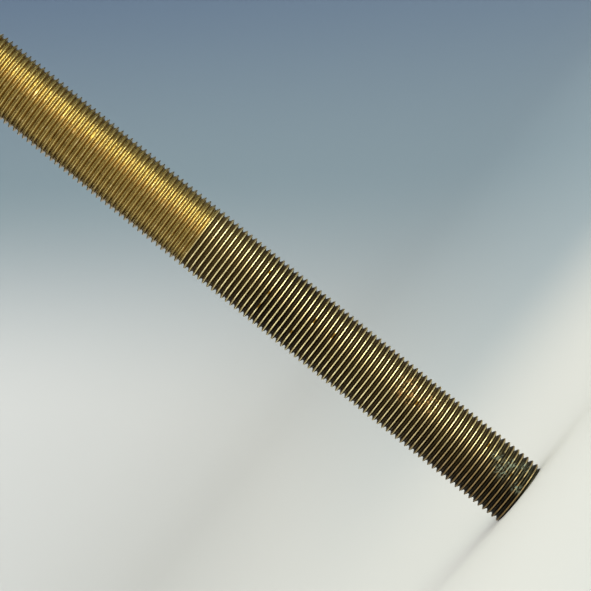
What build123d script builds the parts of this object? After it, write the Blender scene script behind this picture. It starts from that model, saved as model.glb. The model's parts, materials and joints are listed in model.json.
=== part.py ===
from build123d import *

import os

# A brass tube in one piece, with a fine outside thread from end to end and an open bore.
# The tube stands on its sawn end: the axis is Z, and that end lies on the plane Z = 0.
# The solid's wall runs out to the crests of the thread.

# Driving dimensions, in millimetres
thread_major_diameter = 11.8  # over the crests, the small end of the range for M12 x 1
tube_length = 120.0
wall_thickness = 1.15  # from the bore out to the crests
mouth_bevel = 0.2  # where the saw's burr was taken off the edge of the bore

# Derived sizes
crest_radius = thread_major_diameter / 2
bore_radius = crest_radius - wall_thickness


def blank_tube():
    """The tube as sawn from the bar: a plain ring, drawn out to its full length."""
    ring = Circle(crest_radius) - Circle(bore_radius)
    return extrude(ring, amount=tube_length)


def mouth_edges(tube):
    """The two circles where the bore meets the sawn ends."""
    circles = tube.edges().filter_by(GeomType.CIRCLE)
    return circles.group_by(SortBy.RADIUS)[0]


def threaded_tube():
    """The finished tube: square ends, sharp outside and lightly bevelled at both mouths."""
    tube = blank_tube()
    tube = chamfer(mouth_edges(tube), length=mouth_bevel)
    tube.label = "threaded_tube"
    return tube


os.makedirs("parts", exist_ok=True)
export_step(threaded_tube(), "parts/threaded_tube.step")
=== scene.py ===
import json
import logging
import math
import random
from dataclasses import dataclass, field
from enum import Enum

import bmesh
import bpy
from mathutils import Matrix, Vector, kdtree


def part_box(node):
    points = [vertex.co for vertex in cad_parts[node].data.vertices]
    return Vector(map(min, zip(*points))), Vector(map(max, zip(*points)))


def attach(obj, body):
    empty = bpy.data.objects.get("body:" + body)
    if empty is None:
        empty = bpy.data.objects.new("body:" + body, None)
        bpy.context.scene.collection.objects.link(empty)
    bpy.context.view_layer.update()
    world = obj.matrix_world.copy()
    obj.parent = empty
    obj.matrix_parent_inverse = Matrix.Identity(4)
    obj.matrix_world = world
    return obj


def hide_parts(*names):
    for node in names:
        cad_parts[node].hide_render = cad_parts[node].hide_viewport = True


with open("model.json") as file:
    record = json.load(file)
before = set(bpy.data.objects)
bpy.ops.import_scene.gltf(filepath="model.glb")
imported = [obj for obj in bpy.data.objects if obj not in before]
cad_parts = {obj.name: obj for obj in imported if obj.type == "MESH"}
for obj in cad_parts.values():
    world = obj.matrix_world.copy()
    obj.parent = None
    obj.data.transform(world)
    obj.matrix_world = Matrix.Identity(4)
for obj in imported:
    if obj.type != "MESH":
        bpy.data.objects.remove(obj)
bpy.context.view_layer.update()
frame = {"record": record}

MM = 0.001
TUBE_NODE = "threaded_tube"
BODY = "root"

log = logging.getLogger("threaded_tube")


class Region(Enum):
    """The three surfaces of the tube, in the order of its material slots."""

    THREAD = 0
    SAWN_END = 1
    BORE = 2


def linear(hex_colour: str) -> tuple[float, float, float, float]:
    """Turns an sRGB hex colour into the linear colour that a shader takes.

    Args:
        hex_colour: six hex digits, with or without a leading hash.

    Returns:
        Red, green, blue and an alpha of one.
    """
    digits = hex_colour.lstrip("#")
    channels = [int(digits[at:at + 2], 16) / 255 for at in (0, 2, 4)]
    red, green, blue = (
        c / 12.92 if c <= 0.04045 else ((c + 0.055) / 1.055) ** 2.4 for c in channels
    )
    return red, green, blue, 1.0


def add_node(
    tree: bpy.types.NodeTree, kind: str, links: dict | None = None, **settings: object
) -> bpy.types.Node:
    """Adds one node with its settings, socket values and links.

    Args:
        tree: the node tree that the node goes into.
        kind: the node's type name, without the ShaderNode that starts them all.
        links: for each input, by name or number, a value or the output that feeds it.
        settings: the node's own properties.

    Returns:
        The new node.
    """
    node = tree.nodes.new("ShaderNode" + kind)
    for name, value in settings.items():
        setattr(node, name, value)
    for socket, source in (links or {}).items():
        if isinstance(source, bpy.types.NodeSocket):
            tree.links.new(source, node.inputs[socket])
        else:
            node.inputs[socket].default_value = source
    return node


def new_material(name: str) -> bpy.types.Material:
    """Makes a material with an empty node tree.

    Args:
        name: what the material is called.

    Returns:
        The material.
    """
    made = bpy.data.materials.new(name)
    made.use_nodes = True
    made.node_tree.nodes.clear()
    return made


@dataclass(frozen=True)
class ThreadForm:
    """The standard 60 degree thread, as cut on the outside of the tube.

    Lengths are in millimetres, and radii are measured from the tube's axis.
    """

    crest_radius: float
    pitch: float = 1.0
    flank_angle: float = math.radians(30)  # between a flank and a plane across the axis
    crest_flat_share: float = 1 / 8  # of the pitch
    root_radius_share: float = 0.1443  # radius of the rounded root, as a share of the pitch
    depth_share: float = 0.6134  # of the pitch
    corner: float = 0.035  # how far the worn corners of the crest are rounded off
    crest_height: float = 0.8  # first crest above the sawn end, on the +X side
    root_steps: int = 4

    @property
    def depth(self) -> float:
        """Depth of the groove below the crests."""
        return self.depth_share * self.pitch

    @property
    def corner_radius(self) -> float:
        """Radius at which a flank meets the worn corner of the crest."""
        return self.crest_radius - self.corner * math.cos(self.flank_angle)

    def points(self) -> list[tuple[float, float]]:
        """The section of one pitch, from one root to the next.

        Returns:
            Pairs of radius and height, with the crest at a height of zero.
        """
        round_off = self.root_radius_share * self.pitch
        centre = self.crest_radius - self.depth + round_off
        half_pitch = self.pitch / 2
        half_flat = self.crest_flat_share * self.pitch / 2
        widest = math.pi / 2 - self.flank_angle
        half_steps = self.root_steps // 2
        root = [
            (centre - round_off * math.cos(a), round_off * math.sin(a) - half_pitch)
            for a in (widest * step / half_steps for step in range(half_steps + 1))
        ]
        rising = root + [
            (self.corner_radius, -half_flat - self.corner * math.sin(self.flank_angle)),
            (self.crest_radius, -half_flat + self.corner),
        ]
        return rising + [(radius, -height) for radius, height in reversed(rising)]


@dataclass(frozen=True)
class Stain:
    """One patch on the thread, by where it lies and how far it spreads."""

    angle: float  # degrees round the tube from the side that faces the camera, towards +X
    height: float  # mm above the sawn end
    reach: float  # mm from its middle to where it ends
    core: float = 0.25  # share of the reach within which the patch is full

    def middle(self, radius: float) -> tuple[float, float, float]:
        """The middle of the patch on a tube of that radius, in millimetres."""
        turn = math.radians(self.angle)
        return radius * math.sin(turn), -radius * math.cos(turn), self.height


@dataclass(frozen=True)
class Cloud:
    """One cloudy pattern, whose clouds have a real size."""

    grain: tuple[float, float, float]  # size of the clouds along X, Y and Z, in mm
    low: float  # share of the cloud's range that becomes 0
    high: float  # share of the cloud's range that becomes 1
    shift: float  # how far the clouds are moved, in mm, so that no two patterns fall together
    detail: float = 2.0  # octaves of finer cloud
    roughness: float = 0.6  # strength of each octave beside the one before


@dataclass(frozen=True)
class ThreadPlace:
    """The outputs that say where on the thread a point lies, and the patterns laid on it."""

    tree: bpy.types.NodeTree
    point: bpy.types.NodeSocket  # object coordinates in mm
    height: bpy.types.NodeSocket  # mm above the sawn end
    radius: bpy.types.NodeSocket  # mm from the axis
    turn: bpy.types.NodeSocket  # whole numbers on the crests, counted up from the sawn end

    @classmethod
    def read(cls, tree: bpy.types.NodeTree, form: ThreadForm) -> "ThreadPlace":
        """Adds the nodes that find a point's place from its object coordinates.

        Args:
            tree: the material's node tree.
            form: the thread that the material is laid on.

        Returns:
            The outputs of those nodes.
        """
        here = add_node(tree, "TexCoord").outputs["Object"]
        point = add_node(
            tree, "VectorMath", {0: here, "Scale": 1 / MM}, operation="SCALE"
        ).outputs[0]
        split = add_node(tree, "SeparateXYZ", {0: point}).outputs
        flat = add_node(
            tree, "VectorMath", {0: point, 1: (1.0, 1.0, 0.0)}, operation="MULTIPLY"
        ).outputs[0]
        radius = add_node(tree, "VectorMath", {0: flat}, operation="LENGTH").outputs["Value"]
        front = add_node(tree, "Math", {0: split["Y"], 1: -1.0}, operation="MULTIPLY").outputs[0]
        angle = add_node(tree, "Math", {0: split["X"], 1: front}, operation="ARCTAN2").outputs[0]
        # The crest has its stated height on the +X side, a quarter of a turn from the front
        start = form.crest_height / form.pitch - 0.25
        lift = add_node(
            tree, "Math", {0: split["Z"], 1: 1 / form.pitch, 2: -start}, operation="MULTIPLY_ADD"
        ).outputs[0]
        turn = add_node(
            tree, "Math", {0: angle, 1: -1 / math.tau, 2: lift}, operation="MULTIPLY_ADD"
        ).outputs[0]
        return cls(tree, point, split["Z"], radius, turn)

    def wave(self, per_pitch: float, operation: str) -> bpy.types.NodeSocket:
        """A sine or cosine that runs along the axis with the thread.

        Args:
            per_pitch: whole waves in one pitch.
            operation: SINE or COSINE.

        Returns:
            A value from -1 to 1. With one wave to the pitch, the cosine is 1 on the crests, and
            the sine is 1 on the flanks that face up.
        """
        phase = add_node(
            self.tree, "Math", {0: self.turn, 1: per_pitch * math.tau}, operation="MULTIPLY"
        ).outputs[0]
        return add_node(self.tree, "Math", {0: phase}, operation=operation).outputs[0]

    def mottle(self, cloud: Cloud) -> bpy.types.NodeSocket:
        """Cloudy variation.

        Args:
            cloud: the size of the clouds, and how sharply they end.

        Returns:
            A value from 0 to 1.
        """
        scaled = add_node(
            self.tree,
            "Mapping",
            {
                "Vector": self.point,
                "Location": (cloud.shift, cloud.shift, cloud.shift),
                "Scale": tuple(1 / size for size in cloud.grain),
            },
        ).outputs[0]
        noise = add_node(
            self.tree,
            "TexNoise",
            {"Vector": scaled, "Scale": 1.0, "Detail": cloud.detail, "Roughness": cloud.roughness},
        ).outputs[0]
        return add_node(self.tree, "MapRange", {0: noise, 1: cloud.low, 2: cloud.high}).outputs[0]

    def patches(self, stains: tuple[Stain, ...], radius: float) -> bpy.types.NodeSocket:
        """A mask that is 1 in the core of each stain and fades to 0 at its reach.

        Args:
            stains: the patches, in any order.
            radius: radius of the surface that they lie on, in mm.

        Returns:
            A value from 0 to 1.
        """
        mask: bpy.types.NodeSocket | None = None
        for stain in stains:
            away = add_node(
                self.tree,
                "VectorMath",
                {0: self.point, 1: stain.middle(radius)},
                operation="DISTANCE",
            ).outputs["Value"]
            one = add_node(
                self.tree,
                "MapRange",
                {0: away, 1: stain.reach, 2: stain.reach * stain.core},
                interpolation_type="SMOOTHSTEP",
            ).outputs[0]
            if mask is None:
                mask = one
            else:
                mask = add_node(
                    self.tree, "Math", {0: mask, 1: one}, operation="MAXIMUM"
                ).outputs[0]
        return mask


@dataclass(frozen=True)
class BrassFinish:
    """Cut brass thread that has tarnished.

    On the upper stretch fine gold lines on the crests and in the roots are painted highlights, with
    painted shade in brown between them where the flanks face down, and painted light in softer gold
    where they face up, under a thin film. Below the border the grooves are brown-black oxide, with
    painted light in brown on the flanks that face up, paler in their roots towards the sawn end,
    and only the rubbed crests show, as thin pale-gold lines that brown and lose their shine at the
    end.
    """

    gold: str = "#BFA965"
    thin_tarnish: str = "#6E5029"
    glint: str = "#EBD59A"
    olive: str = "#62502B"
    grey_olive: str = "#403E2C"
    oxide: str = "#150D05"
    shoulder: str = "#9C7930"
    rubbed: str = "#FBECB0"
    dull_rubbed: str = "#D0BC8E"
    tawny: str = "#A08963"
    copper: str = "#A98250"
    verdigris: str = "#78826C"

    border_turn: float = 69.0  # the crest line at which the dark stretch starts, from the sawn end
    border_blur: float = 0.06  # of a turn, to each side of the border
    crest_band: tuple[float, float] = (0.06, 0.025)  # mm below the crest: rubbing ends, is full
    shoulder_band: tuple[float, float] = (0.2, 0.06)  # the same for the browned gold beside it
    root_band: tuple[float, float] = (0.16, 0.02)  # mm above the bottom: the root ends, is full

    plainer: tuple[float, float] = (74.0, 84.0)  # mm above the sawn end over which the painted highlight lines fade
    highlight_line_gold: tuple[float, float] = (0.26, 0.12)  # painted highlight gold that the lines add below and above that
    mean_gold: float = 0.58
    flank_light_and_shade_gold: float = 0.4  # painted light: more gold on the flanks that face up, and painted shade: less on the others
    streaks: Cloud = Cloud((1.8, 1.8, 0.3), 0.3, 0.7, shift=3.0)
    streak_gold: tuple[float, float] = (0.74, 1.26)  # how far the streaks thin and thicken the gold
    glints: Cloud = Cloud((1.4, 1.4, 0.3), 0.64, 0.8, shift=67.0, detail=1.0)

    fading: tuple[float, float] = (52.0, 66.0)  # mm above the sawn end: the oxide thins upwards
    border_olive: float = 0.6  # olive in place of oxide at the border
    worn_roots: tuple[float, float] = (50.0, 30.0)  # mm above the sawn end where the roots pale
    root_olive: tuple[float, float] = (0.1, 0.6)  # olive in the roots above that and below it
    flank_light_and_shade_olive: float = 0.26  # painted light: more on the flanks that face up, and painted shade: less on the others
    smudges: Cloud = Cloud((3.0, 3.0, 1.6), 0.3, 0.7, shift=11.0)
    smudge_olive: float = 0.2
    browned_olive: float = -0.3

    dulled: tuple[float, float] = (1.0, 13.0)  # mm above the sawn end over which the crests dull
    dulled_shine: float = 0.6  # of the rubbing that is left at the end itself
    browned_side: tuple[float, float] = (2.5, -2.5)  # mm along X: the end is browner, fully browned
    browned_end: tuple[float, float] = (32.0, 12.0)  # the same in mm above the sawn end
    broken: Cloud = Cloud((1.6, 1.6, 0.9), 0.35, 0.6, shift=23.0, detail=3.0)
    uneven: Cloud = Cloud((2.2, 2.2, 1.3), 0.25, 0.5, shift=31.0, detail=3.0)
    least_rubbed: float = 0.7

    tool_marks: Cloud = Cloud((2.2, 2.2, 0.3), 0.2, 0.8, shift=7.0)
    mark_depth: float = 0.03  # mm
    mark_share: tuple[float, float] = (0.25, 0.65)  # of that depth: on the dark, on the bright

    metal_share: tuple[float, float] = (0.8, 1.0)  # how metallic the oxide is, and the bare metal
    roughness: tuple[float, float] = (0.5, 0.27)  # of the oxide, and of the bare metal
    film: float = 0.22  # how much less metallic the film makes the bright flanks that face up
    powder: float = 0.25  # how much rougher verdigris is

    copper_cloud: Cloud = Cloud((0.7, 0.7, 0.5), 0.52, 0.64, shift=41.0, detail=3.0)
    copper_stains: tuple[Stain, ...] = (
        Stain(28.0, 21.5, 3.4),
        Stain(12.0, 26.0, 3.0),
        Stain(34.0, 26.5, 2.6),
        Stain(200.0, 30.0, 4.0),
    )
    verdigris_cloud: Cloud = Cloud((0.5, 0.5, 0.4), 0.5, 0.6, shift=53.0, detail=4.0)
    verdigris_stains: tuple[Stain, ...] = (
        Stain(14.0, 5.4, 2.0),
        Stain(6.0, 1.6, 1.5),
        Stain(33.0, 4.6, 2.0),
        Stain(31.0, 7.4, 1.6),
        Stain(48.0, 2.4, 1.8),
        Stain(150.0, 6.0, 3.0),
        Stain(235.0, 3.0, 2.4),
    )
    dull_stains: tuple[Stain, ...] = (
        Stain(20.0, 3.4, 4.6),
        Stain(30.0, 6.4, 3.8),
        Stain(190.0, 5.0, 5.0),
    )

    def metal_colour(self, place: ThreadPlace) -> bpy.types.NodeSocket:
        """Gold lines of painted highlight on the crests and roots, and painted light and shade on
        the flanks, over the thin tarnish of the bright stretch, with streaks and glints.

        Args:
            place: where on the thread a point lies.

        Returns:
            The colour.
        """
        tree = place.tree
        low, high = self.plainer
        below, above = self.highlight_line_gold
        contrast = add_node(
            tree, "MapRange", {0: place.height, 1: low, 2: high, 3: below, 4: above}
        ).outputs[0]
        # Painted highlight: gold lines on the crests and in the roots
        lines = add_node(
            tree,
            "Math",
            {0: place.wave(2, "COSINE"), 1: contrast, 2: self.mean_gold},
            operation="MULTIPLY_ADD",
        ).outputs[0]
        # Painted light and shade: more gold on the flanks that face up, less on those that face
        # down
        lines = add_node(
            tree,
            "Math",
            {0: place.wave(1, "SINE"), 1: self.flank_light_and_shade_gold, 2: lines},
            operation="MULTIPLY_ADD",
        ).outputs[0]
        thin, thick = self.streak_gold
        uneven = add_node(
            tree, "MapRange", {0: place.mottle(self.streaks), 3: thin, 4: thick}
        ).outputs[0]
        shown = add_node(tree, "Math", {0: lines, 1: uneven}, operation="MULTIPLY").outputs[0]
        colour = linear(self.thin_tarnish)
        for share, tone in ((shown, self.gold), (place.mottle(self.glints), self.glint)):
            colour = add_node(
                tree, "Mix", {0: share, 6: colour, 7: linear(tone)}, data_type="RGBA"
            ).outputs[2]
        return colour

    def browning(self, place: ThreadPlace) -> bpy.types.NodeSocket:
        """A mask for the browner side of the tube near the sawn end.

        Args:
            place: where on the thread a point lies.

        Returns:
            A value from 0 to 1, which is 1 where the tube is fully browned.
        """
        tree = place.tree
        across = add_node(tree, "SeparateXYZ", {0: place.point}).outputs["X"]
        share: float | bpy.types.NodeSocket = 1.0
        for source, (start, full) in (
            (across, self.browned_side),
            (place.height, self.browned_end),
        ):
            step = add_node(tree, "MapRange", {0: source, 1: start, 2: full}).outputs[0]
            share = add_node(tree, "Math", {0: step, 1: share}, operation="MULTIPLY").outputs[0]
        return share

    def groove_colour(
        self,
        place: ThreadPlace,
        form: ThreadForm,
        clean: bpy.types.NodeSocket,
        browned: bpy.types.NodeSocket,
    ) -> bpy.types.NodeSocket:
        """Oxide: painted light in brown where the flanks face up, painted shade nearly black
        elsewhere, and paler in the roots.

        Args:
            place: where on the thread a point lies.
            form: the thread that the oxide lies on.
            clean: 0 at the sawn end and 1 where the tube is no longer greyed by it.
            browned: 1 near the sawn end on the browner side.

        Returns:
            The colour.
        """
        tree = place.tree
        low, high = self.fading
        thin_oxide_and_painted_light = add_node(
            tree, "MapRange", {0: place.height, 1: low, 2: high, 3: 0.0, 4: self.border_olive}
        ).outputs[0]
        low, high = self.worn_roots
        above, below = self.root_olive
        worn = add_node(
            tree, "MapRange", {0: place.height, 1: low, 2: high, 3: above, 4: below}
        ).outputs[0]
        bottom = form.crest_radius - form.depth
        end, full = self.root_band
        root = add_node(
            tree,
            "MapRange",
            {0: place.radius, 1: bottom + end, 2: bottom + full},
            interpolation_type="SMOOTHSTEP",
        ).outputs[0]
        # The sine paints light on the flanks that face up and shade on those that face down;
        # fading, roots, smudges and browning are the oxide's own tone.
        for share, amount in (
            (place.wave(1, "SINE"), self.flank_light_and_shade_olive),
            (root, worn),
            (place.mottle(self.smudges), self.smudge_olive),
            (browned, self.browned_olive),
        ):
            thin_oxide_and_painted_light = add_node(
                tree, "Math", {0: share, 1: amount, 2: thin_oxide_and_painted_light}, operation="MULTIPLY_ADD"
            ).outputs[0]
        thin_oxide_and_painted_light = add_node(tree, "Clamp", {0: thin_oxide_and_painted_light}).outputs[0]
        tan = add_node(
            tree,
            "Mix",
            {0: clean, 6: linear(self.grey_olive), 7: linear(self.olive)},
            data_type="RGBA",
        ).outputs[2]
        return add_node(
            tree, "Mix", {0: thin_oxide_and_painted_light, 6: linear(self.oxide), 7: tan}, data_type="RGBA"
        ).outputs[2]

    def crest_colour(
        self, place: ThreadPlace, clean: bpy.types.NodeSocket, browned: bpy.types.NodeSocket
    ) -> bpy.types.NodeSocket:
        """Rubbed brass, duller at the sawn end and tawny on the browner side.

        Args:
            place: where on the thread a point lies.
            clean: 0 at the sawn end and 1 where the tube is no longer greyed by it.
            browned: 1 near the sawn end on the browner side.

        Returns:
            The colour.
        """
        colour = linear(self.dull_rubbed)
        for share, tone in ((clean, self.rubbed), (browned, self.tawny)):
            colour = add_node(
                place.tree, "Mix", {0: share, 6: colour, 7: linear(tone)}, data_type="RGBA"
            ).outputs[2]
        return colour

    def rubbing(
        self, place: ThreadPlace, band: tuple[float, float], radius: float
    ) -> bpy.types.NodeSocket:
        """How far the oxide is rubbed off the crests, which is uneven and less at the sawn end.

        Args:
            place: where on the thread a point lies.
            band: mm below the crest where the rubbing ends, and where it is full.
            radius: radius of the crests, in mm.

        Returns:
            A value from 0 to 1.
        """
        tree = place.tree
        end, full = band
        crest = add_node(
            tree,
            "MapRange",
            {0: place.radius, 1: radius - end, 2: radius - full},
            interpolation_type="SMOOTHSTEP",
        ).outputs[0]
        dull = add_node(
            tree,
            "Math",
            {0: place.patches(self.dull_stains, radius), 1: place.mottle(self.broken)},
            operation="MULTIPLY",
        ).outputs[0]
        kept = add_node(tree, "Math", {0: 1.0, 1: dull}, operation="SUBTRACT").outputs[0]
        worn = add_node(
            tree, "MapRange", {0: place.mottle(self.uneven), 3: self.least_rubbed, 4: 1.0}
        ).outputs[0]
        low, high = self.dulled
        shine = add_node(
            tree, "MapRange", {0: place.height, 1: low, 2: high, 3: self.dulled_shine, 4: 1.0}
        ).outputs[0]
        for share in (kept, worn, shine):
            crest = add_node(tree, "Math", {0: crest, 1: share}, operation="MULTIPLY").outputs[0]
        return crest

    def spots(
        self, place: ThreadPlace, stains: tuple[Stain, ...], cloud: Cloud, radius: float
    ) -> bpy.types.NodeSocket:
        """Small spots that gather in the stains.

        Args:
            place: where on the thread a point lies.
            stains: where the spots gather.
            cloud: the spots' size and how sharply they end.
            radius: radius of the crests, in mm.

        Returns:
            A value from 0 to 1.
        """
        return add_node(
            place.tree,
            "Math",
            {0: place.patches(stains, radius), 1: place.mottle(cloud)},
            operation="MULTIPLY",
        ).outputs[0]

    def relief(self, place: ThreadPlace, bright: bpy.types.NodeSocket) -> bpy.types.NodeSocket:
        """Fine tool marks along the thread, which break up the gloss.

        Args:
            place: where on the thread a point lies.
            bright: 1 on the bright stretch and 0 on the dark one, where the marks are worn down.

        Returns:
            The normal.
        """
        tree = place.tree
        dark_share, bright_share = self.mark_share
        share = add_node(tree, "MapRange", {0: bright, 3: dark_share, 4: bright_share}).outputs[0]
        marks = add_node(
            tree, "Math", {0: place.mottle(self.tool_marks), 1: share}, operation="MULTIPLY"
        ).outputs[0]
        return add_node(
            tree, "Bump", {"Strength": 1.0, "Distance": self.mark_depth * MM, "Height": marks}
        ).outputs[0]

    def material(self, form: ThreadForm) -> bpy.types.Material:
        """Builds the thread's material.

        Args:
            form: the thread that the material is laid on.

        Returns:
            The material, which reads object coordinates only.
        """
        made = new_material("cut_brass_thread_tarnished")
        tree = made.node_tree
        place = ThreadPlace.read(tree, form)
        start, end = self.border_turn - self.border_blur, self.border_turn + self.border_blur
        bright = add_node(tree, "MapRange", {0: place.turn, 1: start, 2: end}).outputs[0]
        low, high = self.dulled
        clean = add_node(tree, "MapRange", {0: place.height, 1: low, 2: high}).outputs[0]
        browned = self.browning(place)
        rubbed = self.rubbing(place, self.crest_band, form.crest_radius)
        green = self.spots(place, self.verdigris_stains, self.verdigris_cloud, form.crest_radius)
        colour = self.groove_colour(place, form, clean, browned)
        for share, tone in (
            (self.rubbing(place, self.shoulder_band, form.crest_radius), linear(self.shoulder)),
            (rubbed, self.crest_colour(place, clean, browned)),
            (bright, self.metal_colour(place)),
            (
                self.spots(place, self.copper_stains, self.copper_cloud, form.crest_radius),
                linear(self.copper),
            ),
            (green, linear(self.verdigris)),
        ):
            colour = add_node(
                tree, "Mix", {0: share, 6: colour, 7: tone}, data_type="RGBA"
            ).outputs[2]
        bare = add_node(tree, "Math", {0: bright, 1: rubbed}, operation="MAXIMUM").outputs[0]
        dull, full = self.metal_share
        metallic = add_node(tree, "MapRange", {0: bare, 3: dull, 4: full}).outputs[0]
        upward = add_node(
            tree, "Math", {0: place.wave(1, "SINE"), 1: bright}, operation="MULTIPLY"
        ).outputs[0]
        film = add_node(tree, "MapRange", {0: upward, 4: self.film}).outputs[0]
        for cover in (film, green):
            metallic = add_node(
                tree, "Math", {0: metallic, 1: cover}, operation="SUBTRACT", use_clamp=True
            ).outputs[0]
        dull, full = self.roughness
        rough = add_node(tree, "MapRange", {0: bare, 3: dull, 4: full}).outputs[0]
        rough = add_node(
            tree, "Math", {0: green, 1: self.powder, 2: rough}, operation="MULTIPLY_ADD"
        ).outputs[0]
        shader = add_node(
            tree,
            "BsdfPrincipled",
            {
                "Base Color": colour,
                "Metallic": metallic,
                "Roughness": rough,
                "Normal": self.relief(place, bright),
            },
        )
        add_node(tree, "OutputMaterial", {"Surface": shader.outputs[0]})
        return made


@dataclass(frozen=True)
class LinedFinish:
    """Brass with fine straight lines in its surface, under patches of tarnish."""

    name: str
    bare: str
    tarnish: str
    line_size: tuple[float, float, float]  # mm along X, Y, Z; lines run along the longer sizes
    line_turn: float  # about the tube's axis
    line_depth: float  # mm
    line_strength: float
    line_noise: tuple[float, float]  # octaves, and the strength of each beside the one before
    patch_size: float  # mm
    patch_noise: tuple[float, float]  # the same for the patches
    contrast: tuple[float, float]  # of lines and patches together: full tarnish, bare metal
    patch_range: tuple[float, float]  # share of the patches' range between the two roughnesses
    roughness: tuple[float, float]
    metallic: float

    def material(self) -> bpy.types.Material:
        """Builds the material.

        Returns:
            The material, which reads object coordinates only.
        """
        made = new_material(self.name)
        tree = made.node_tree
        here = add_node(tree, "TexCoord").outputs["Object"]
        along = add_node(
            tree,
            "Mapping",
            {
                "Vector": here,
                "Rotation": (0.0, 0.0, self.line_turn),
                "Scale": tuple(1 / (size * MM) for size in self.line_size),
            },
        ).outputs[0]
        lines, patches = (
            add_node(
                tree,
                "TexNoise",
                {"Vector": source, "Scale": scale, "Detail": detail, "Roughness": strength},
            ).outputs[0]
            for source, scale, (detail, strength) in (
                (along, 1.0, self.line_noise),
                (here, 1 / (self.patch_size * MM), self.patch_noise),
            )
        )
        both = add_node(tree, "Math", {0: lines, 1: patches}, operation="ADD").outputs[0]
        low, high = self.contrast
        shown = add_node(tree, "MapRange", {0: both, 1: low, 2: high}).outputs[0]
        colour = add_node(
            tree, "Mix", {0: shown, 6: linear(self.tarnish), 7: linear(self.bare)}, data_type="RGBA"
        ).outputs[2]
        low, high = self.patch_range
        smooth, coarse = self.roughness
        rough = add_node(
            tree, "MapRange", {0: patches, 1: low, 2: high, 3: smooth, 4: coarse}
        ).outputs[0]
        relief = add_node(
            tree,
            "Bump",
            {"Strength": self.line_strength, "Distance": self.line_depth * MM, "Height": lines},
        ).outputs[0]
        shader = add_node(
            tree,
            "BsdfPrincipled",
            {"Base Color": colour, "Metallic": self.metallic, "Roughness": rough, "Normal": relief},
        )
        add_node(tree, "OutputMaterial", {"Surface": shader.outputs[0]})
        return made


@dataclass(frozen=True)
class SawnFinish(LinedFinish):
    """Brass cut by a fine saw and left to tarnish: dull, with straight scratches across it."""

    name: str = "sawn_brass_end"
    bare: str = "#B4975A"
    tarnish: str = "#4F3F24"
    line_size: tuple[float, float, float] = (0.12, 6.0, 6.0)  # coarser than real, to show
    line_turn: float = math.radians(24)
    line_depth: float = 0.015
    line_strength: float = 0.8
    line_noise: tuple[float, float] = (3.0, 0.7)
    patch_size: float = 1.4
    patch_noise: tuple[float, float] = (3.0, 0.5)
    contrast: tuple[float, float] = (0.8, 1.25)
    patch_range: tuple[float, float] = (0.3, 0.7)
    roughness: tuple[float, float] = (0.34, 0.55)
    metallic: float = 0.95


@dataclass(frozen=True)
class BoreFinish(LinedFinish):
    """Drawn brass inside the tube: faint lines along the axis, browned by age and dusty."""

    name: str = "drawn_brass_bore"
    bare: str = "#8F7444"
    tarnish: str = "#3B2C18"
    line_size: tuple[float, float, float] = (0.25, 0.25, 14.0)  # coarser than real, to show
    line_turn: float = 0.0
    line_depth: float = 0.01
    line_strength: float = 0.6
    line_noise: tuple[float, float] = (2.0, 0.5)
    patch_size: float = 3.5
    patch_noise: tuple[float, float] = (4.0, 0.65)
    contrast: tuple[float, float] = (0.75, 1.3)
    patch_range: tuple[float, float] = (0.3, 0.7)
    roughness: tuple[float, float] = (0.3, 0.6)
    metallic: float = 0.9


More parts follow.
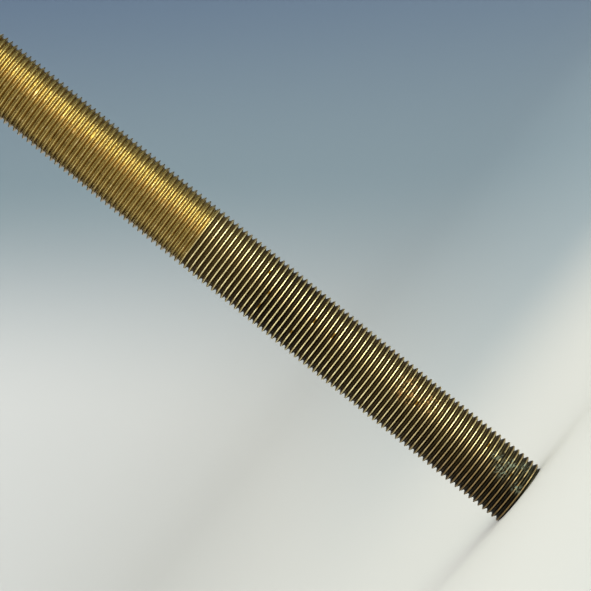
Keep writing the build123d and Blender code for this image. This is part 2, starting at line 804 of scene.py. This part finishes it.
@dataclass
class ThreadedTube:
    """The brass tube with its thread, made as one closed mesh.

    The length and the outside come from the CAD node, and the bore from the record's mount.
    Lengths are in millimetres.
    """

    length: float
    form: ThreadForm
    bore_radius: float
    mouth_bevel: float = 0.2
    steps: int = 64  # facets round the tube
    weld: float = 0.002  # mm within which the turns are joined
    nicks: int = 70
    nick_reach: tuple[float, float] = (0.35, 0.8)  # mm, the least and the most
    nick_depth: tuple[float, float] = (0.05, 0.16)  # mm, the least and the most
    seed: int = 12
    brass: BrassFinish = field(default_factory=BrassFinish)
    sawn: SawnFinish = field(default_factory=SawnFinish)
    bore: BoreFinish = field(default_factory=BoreFinish)

    def add_thread(self, mesh: bmesh.types.BMesh) -> None:
        """Sweeps one pitch once round the axis, and repeats that turn up the tube.

        Args:
            mesh: the mesh that takes the thread.
        """
        spare = 2  # turns that start below the sawn end, so that the saw meets whole thread
        start = self.form.crest_height - spare * self.form.pitch
        corners = [
            mesh.verts.new((radius * MM, 0.0, (height + start) * MM))
            for radius, height in self.form.points()
        ]
        edges = [mesh.edges.new(pair) for pair in zip(corners, corners[1:])]
        bmesh.ops.spin(
            mesh,
            geom=corners + edges,
            cent=(0.0, 0.0, 0.0),
            axis=(0.0, 0.0, 1.0),
            dvec=(0.0, 0.0, self.form.pitch * MM / self.steps),
            angle=math.tau,
            steps=self.steps,
            use_merge=False,
            use_duplicate=False,
        )
        one_turn = mesh.verts[:] + mesh.edges[:] + mesh.faces[:]
        turns = math.ceil(self.length / self.form.pitch) + spare + 1
        for turn in range(1, turns):
            copied = bmesh.ops.duplicate(mesh, geom=one_turn)["geom"]
            bmesh.ops.translate(
                mesh,
                vec=(0.0, 0.0, turn * self.form.pitch * MM),
                verts=[part for part in copied if isinstance(part, bmesh.types.BMVert)],
            )
        bmesh.ops.remove_doubles(mesh, verts=mesh.verts, dist=self.weld * MM)

    def saw_ends(self, mesh: bmesh.types.BMesh) -> None:
        """Cuts the thread square at the bottom and at the top.

        Args:
            mesh: the mesh that holds the thread.
        """
        for height, outwards in ((0.0, -1.0), (self.length, 1.0)):
            bmesh.ops.bisect_plane(
                mesh,
                geom=mesh.verts[:] + mesh.edges[:] + mesh.faces[:],
                dist=self.weld / 2 * MM,
                plane_co=(0.0, 0.0, height * MM),
                plane_no=(0.0, 0.0, outwards),
                clear_outer=True,
                clear_inner=False,
            )

    def add_bore(self, mesh: bmesh.types.BMesh) -> None:
        """Turns the bore with its two bevelled mouths, and closes the ring at each end.

        Args:
            mesh: the mesh that already holds the sawn thread.
        """
        mouth = self.bore_radius + self.mouth_bevel
        outline = (
            (mouth, 0.0),
            (self.bore_radius, self.mouth_bevel),
            (self.bore_radius, self.length - self.mouth_bevel),
            (mouth, self.length),
        )
        corners = [mesh.verts.new((radius * MM, 0.0, height * MM)) for radius, height in outline]
        edges = [mesh.edges.new(pair) for pair in zip(corners, corners[1:])]
        before = set(mesh.faces)
        bmesh.ops.spin(
            mesh,
            geom=corners + edges,
            cent=(0.0, 0.0, 0.0),
            axis=(0.0, 0.0, 1.0),
            angle=math.tau,
            steps=self.steps,
            use_merge=True,
            use_duplicate=False,
        )
        for face in set(mesh.faces) - before:
            face.material_index = Region.BORE.value
        rims = [edge for edge in mesh.edges if edge.is_boundary]
        reach = self.mouth_bevel / 2 * MM  # from an end's plane, within which its two rims lie
        for height in (0.0, self.length):
            ring = [
                edge
                for edge in rims
                if all(abs(corner.co.z - height * MM) < reach for corner in edge.verts)
            ]
            closed = bmesh.ops.triangle_fill(
                mesh, use_beauty=True, use_dissolve=False, edges=ring
            )
            for part in closed["geom"]:
                if isinstance(part, bmesh.types.BMFace):
                    part.material_index = Region.SAWN_END.value

    def mark_hard_edges(self, mesh: bmesh.types.BMesh) -> None:
        """Keeps the shading crisp where a flank meets the crest and where two surfaces meet.

        Args:
            mesh: the closed mesh of the tube.
        """
        slack = 0.2  # share of the worn corner by which an edge may miss it
        reach = self.form.corner * slack
        for edge in mesh.edges:
            radii = [math.hypot(corner.co.x, corner.co.y) / MM for corner in edge.verts]
            at_corner = all(abs(radius - self.form.corner_radius) < reach for radius in radii)
            kinds = {face.material_index for face in edge.link_faces}
            edge.smooth = not at_corner and len(kinds) == 1

    def nick_crests(self, mesh: bmesh.types.BMesh) -> None:
        """Presses small dents into the crests, where the tube has been knocked.

        Args:
            mesh: the closed mesh of the tube.
        """
        dice = random.Random(self.seed)
        slack = 0.05  # mm below the crest that still counts as crest
        lowest = (self.form.crest_radius - slack) * MM
        clear = 0.3  # mm that stays unmarked at each end
        crests = [
            corner
            for corner in mesh.verts
            if lowest < math.hypot(corner.co.x, corner.co.y)
            and clear * MM < corner.co.z < (self.length - clear) * MM
        ]
        tree = kdtree.KDTree(len(crests))
        for index, corner in enumerate(crests):
            tree.insert(corner.co, index)
        tree.balance()
        for _ in range(self.nicks):
            struck = crests[dice.randrange(len(crests))].co.copy()
            reach = dice.uniform(*self.nick_reach) * MM
            depth = dice.uniform(*self.nick_depth) * MM
            for _place, index, distance in tree.find_range(struck, reach):
                inwards = Vector((crests[index].co.x, crests[index].co.y, 0.0)).normalized()
                crests[index].co -= inwards * depth * (1 - distance / reach)

    def build(self) -> bpy.types.Object:
        """Builds the tube and gives it its three finishes.

        Returns:
            The tube's object, placed at the origin.
        """
        mesh = bmesh.new()
        self.add_thread(mesh)
        self.saw_ends(mesh)
        self.add_bore(mesh)
        bmesh.ops.recalc_face_normals(mesh, faces=mesh.faces)
        self.mark_hard_edges(mesh)
        self.nick_crests(mesh)
        for face in mesh.faces:
            face.smooth = face.material_index != Region.SAWN_END.value
        data = bpy.data.meshes.new("tarnished_threaded_tube")
        mesh.to_mesh(data)
        mesh.free()
        data.materials.append(self.brass.material(self.form))
        data.materials.append(self.sawn.material())
        data.materials.append(self.bore.material())
        piece = bpy.data.objects.new("tarnished_threaded_tube", data)
        bpy.context.scene.collection.objects.link(piece)
        return piece


@dataclass(frozen=True)
class PhotoView:
    """Where the photograph was taken from, worked out from the thread's own scale."""

    frame_px: float = 591.0
    end_px: tuple[float, float] = (519.6, 494.7)  # where the axis meets the end that shows
    lean: float = math.radians(38.88)  # the axis runs down to the right by this much
    px_per_mm: float = 5.91
    tilt: float = math.radians(1.1)  # how far the camera looks down towards the end that shows
    lens: float = 290.0
    sensor: float = 36.0

    def place(self) -> bpy.types.Object:
        """Makes the camera, square on to the tube's axis and rolled to the photograph's lean.

        Returns:
            The camera's object.
        """
        along = Vector((math.cos(self.lean), math.sin(self.lean)))
        across = Vector((-math.sin(self.lean), math.cos(self.lean)))
        middle = Vector((self.frame_px / 2, self.frame_px / 2)) - Vector(self.end_px)
        height = -middle.dot(along) / self.px_per_mm * MM
        side = -middle.dot(across) / self.px_per_mm * MM
        distance = self.lens / self.sensor * self.frame_px / self.px_per_mm * MM
        level = Vector((1.0, 0.0, 0.0))
        upright = Vector((0.0, math.sin(self.tilt), math.cos(self.tilt)))
        back = level.cross(upright)
        right = level * math.sin(self.lean) - upright * math.cos(self.lean)
        up = level * math.cos(self.lean) + upright * math.sin(self.lean)
        data = bpy.data.cameras.new("photo_camera")
        data.lens = self.lens
        data.sensor_width = self.sensor
        data.clip_start = 0.05
        data.clip_end = 20.0
        camera = bpy.data.objects.new("photo_camera", data)
        turn = Matrix((right, up, back)).transposed().to_4x4()
        spot = Vector((side, 0.0, height)) + back * distance
        camera.matrix_world = Matrix.Translation(spot) @ turn
        bpy.context.scene.collection.objects.link(camera)
        bpy.context.scene.camera = camera
        return camera


@dataclass(frozen=True)
class Softbox:
    """One rectangular studio light, with its near face turned to the tube."""

    name: str
    place: tuple[float, float, float]
    width: float
    height: float
    glow: float  # radiance of its face; a white sheet of paper in the set is at about 0.75
    colour: str = "#FFFFFF"

    def hang(self, tube: Vector) -> bpy.types.Object:
        """Hangs the light so that it faces the tube.

        Args:
            tube: the middle of the tube, in metres.

        Returns:
            The light's object, hidden from the camera itself.
        """
        data = bpy.data.lights.new(self.name, "AREA")
        data.shape = "RECTANGLE"
        data.size = self.width
        data.size_y = self.height
        data.energy = self.glow * math.pi * self.width * self.height
        data.color = linear(self.colour)[:3]
        lamp = bpy.data.objects.new(self.name, data)
        towards = tube - Vector(self.place)
        turn = towards.to_track_quat("-Z", "Y").to_matrix().to_4x4()
        lamp.matrix_world = Matrix.Translation(self.place) @ turn
        lamp.visible_camera = False
        bpy.context.scene.collection.objects.link(lamp)
        return lamp


@dataclass
class Studio:
    """A plain pale floor that sweeps up into a paper backdrop, with soft lights."""

    flat_radius: float = 1.2
    sweep_radius: float = 1.2
    rim_height: float = 1.5
    sweep_steps: int = 12
    round_steps: int = 96
    floor_paper: str = "#CAC9C0"
    # Painted light: the paper up the sweep is paler than the floor, to make up for the weaker light
    # there
    painted_light_wall_paper: str = "#DDDDD8"
    # Painted shade: grey paper at the sides, so that less light falls back on the tube
    side_painted_shade_paper: str = "#9FA3A3"
    # Painted shade: near-black paper in two sectors behind, reflected as the tube's dark edges
    flag_painted_shade_paper: str = "#26282A"
    # Painted shade: blue-grey paper that darkens up the back, in two steps
    blue_grey_painted_shade: str = "#85969C"
    deep_painted_shade: str = "#5C7088"
    plain_floor: tuple[float, float] = (0.06, 0.4)  # m from the tube: the painted shade starts, is full
    far_floor: tuple[float, float] = (0.3, 1.0)
    sweep_rise: tuple[float, float] = (1.1, 1.9)
    blue_grey_shade_rise: tuple[float, float] = (-0.05, 0.08)  # metres along the photograph's own upright
    deep_shade_rise: tuple[float, float] = (0.05, 0.22)
    side_turn: tuple[float, float] = (0.22, 0.6)  # sine of the turn away from straight behind
    flag_turn: tuple[float, float] = (0.34, 0.5)  # sine of the turn behind the side-to-side line
    flag_inner: tuple[float, float] = (0.19, 0.28)  # the painted shade's edge beside what shows
    room: str = "#F2F4F6"
    room_glow: float = 1.5
    lights: tuple[Softbox, ...] = (
        Softbox("key_softbox", (0.85, -0.57, 0.14), 1.0, 0.55, 9.8, "#F5FFF3"),
        Softbox("near_panel", (0.4, -1.12, 0.25), 0.64, 1.0, 2.9, "#FFEADF"),
        Softbox("far_panel", (-1.0, -0.12, 0.5), 0.7, 0.8, 0.9, "#EEF4FF"),
    )

    def backdrop(self, lean: float) -> bpy.types.Object:
        """Turns the floor, the sweep and the wall as one seamless bowl of paper.

        Args:
            lean: the photograph's lean, which the backdrop's shading follows.

        Returns:
            The bowl's object, which is part of the set and not of the tube.
        """
        mesh = bmesh.new()
        outline = [(0.0, 0.0), (self.flat_radius / 2, 0.0)]
        for step in range(self.sweep_steps + 1):
            turn = math.pi / 2 * step / self.sweep_steps
            outline.append(
                (
                    self.flat_radius + self.sweep_radius * math.sin(turn),
                    self.sweep_radius * (1 - math.cos(turn)),
                )
            )
        outline.append((self.flat_radius + self.sweep_radius, self.rim_height))
        corners = [mesh.verts.new((radius, 0.0, height)) for radius, height in outline]
        edges = [mesh.edges.new(pair) for pair in zip(corners, corners[1:])]
        bmesh.ops.spin(
            mesh,
            geom=corners + edges,
            cent=(0.0, 0.0, 0.0),
            axis=(0.0, 0.0, 1.0),
            angle=math.tau,
            steps=self.round_steps,
            use_merge=True,
            use_duplicate=False,
        )
        bmesh.ops.remove_doubles(mesh, verts=mesh.verts, dist=MM)
        bmesh.ops.recalc_face_normals(mesh, faces=mesh.faces)
        for face in mesh.faces:
            face.smooth = True
        data = bpy.data.meshes.new("paper_sweep")
        mesh.to_mesh(data)
        mesh.free()
        data.materials.append(self.paper_material(lean))
        sheet = bpy.data.objects.new("paper_sweep", data)
        bpy.context.scene.collection.objects.link(sheet)
        return sheet

    def paper_material(self, lean: float) -> bpy.types.Material:
        """Matt paper: pale on the floor, painted paler up the sweep as painted light, blue-grey
        painted shade up the back, and grey painted shade at the sides.

        Two dark sectors of painted shade, out of the camera's sight, give the tube's outline its
        dark edges.

        Args:
            lean: the photograph's lean, which the painted shade follows.

        Returns:
            The paper's material.
        """
        made = new_material("matt_paper_with_painted_shade")
        tree = made.node_tree
        here = add_node(tree, "TexCoord").outputs["Object"]
        upright = (math.cos(lean), 0.0, math.sin(lean))
        height = add_node(
            tree, "VectorMath", {0: here, 1: upright}, operation="DOT_PRODUCT"
        ).outputs["Value"]
        flat = add_node(
            tree, "VectorMath", {0: here, 1: (1.0, 1.0, 0.0)}, operation="MULTIPLY"
        ).outputs[0]
        radius = add_node(tree, "VectorMath", {0: flat}, operation="LENGTH").outputs["Value"]
        way = add_node(tree, "VectorMath", {0: flat}, operation="NORMALIZE").outputs[0]
        around = add_node(tree, "SeparateXYZ", {0: way}).outputs
        behind = around["Y"]
        beside = add_node(tree, "Math", {0: around["X"]}, operation="ABSOLUTE").outputs[0]
        clear = (radius, self.plain_floor)
        far = (radius, self.far_floor)
        colour = linear(self.floor_paper)
        # Painted light and shade: paler up the sweep, blue-grey up the back, grey at the sides and
        # near black in two sectors behind
        for limits, tone in (
            (((radius, self.sweep_rise),), self.painted_light_wall_paper),
            (((height, self.blue_grey_shade_rise), clear), self.blue_grey_painted_shade),
            (((height, self.deep_shade_rise), clear), self.deep_painted_shade),
            (((beside, self.side_turn), far), self.side_painted_shade_paper),
            (((behind, self.flag_turn), (beside, self.flag_inner), far), self.flag_painted_shade_paper),
        ):
            share: float | bpy.types.NodeSocket = 1.0
            for source, (low, high) in limits:
                step = add_node(
                    tree, "MapRange", {0: source, 1: low, 2: high}, interpolation_type="SMOOTHSTEP"
                ).outputs[0]
                share = add_node(
                    tree, "Math", {0: step, 1: share}, operation="MULTIPLY"
                ).outputs[0]
            colour = add_node(
                tree, "Mix", {0: share, 6: colour, 7: linear(tone)}, data_type="RGBA"
            ).outputs[2]
        shader = add_node(tree, "BsdfPrincipled", {"Base Color": colour, "Roughness": 0.9})
        add_node(tree, "OutputMaterial", {"Surface": shader.outputs[0]})
        return made

    def sky(self) -> None:
        """Fills the room with a soft, even light from above the backdrop's rim."""
        world = bpy.data.worlds.new("studio_room")
        world.use_nodes = True
        tree = world.node_tree
        tree.nodes.clear()
        room = add_node(
            tree, "Background", {"Color": linear(self.room), "Strength": self.room_glow}
        )
        add_node(tree, "OutputWorld", {"Surface": room.outputs[0]})
        bpy.context.scene.world = world

    def build(self, tube: Vector, lean: float) -> None:
        """Lays the paper, fills the room and hangs the lights.

        Args:
            tube: the middle of the tube, in metres.
            lean: the photograph's lean.
        """
        self.backdrop(lean)
        self.sky()
        for light in self.lights:
            light.hang(tube)
        bpy.context.scene.view_settings.view_transform = "Standard"


def main() -> None:
    """Builds the tube, the camera and the studio, and reports the tube."""
    low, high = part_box(TUBE_NODE)
    bore = next(mount for mount in frame["record"]["mounts"] if mount["name"] == "bore")
    form = ThreadForm(crest_radius=high.x / MM)
    tube = ThreadedTube(length=(high.z - low.z) / MM, form=form, bore_radius=bore["dims"]["r_mm"])
    piece = tube.build()
    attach(piece, BODY)
    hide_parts(TUBE_NODE)
    log.info("%s: %d faces", piece.name, len(piece.data.polygons))
    photo = PhotoView()
    photo.place()
    Studio().build((low + high) / 2, photo.lean)


if __name__ == "__main__":
    logging.basicConfig(level=logging.INFO)
    main()
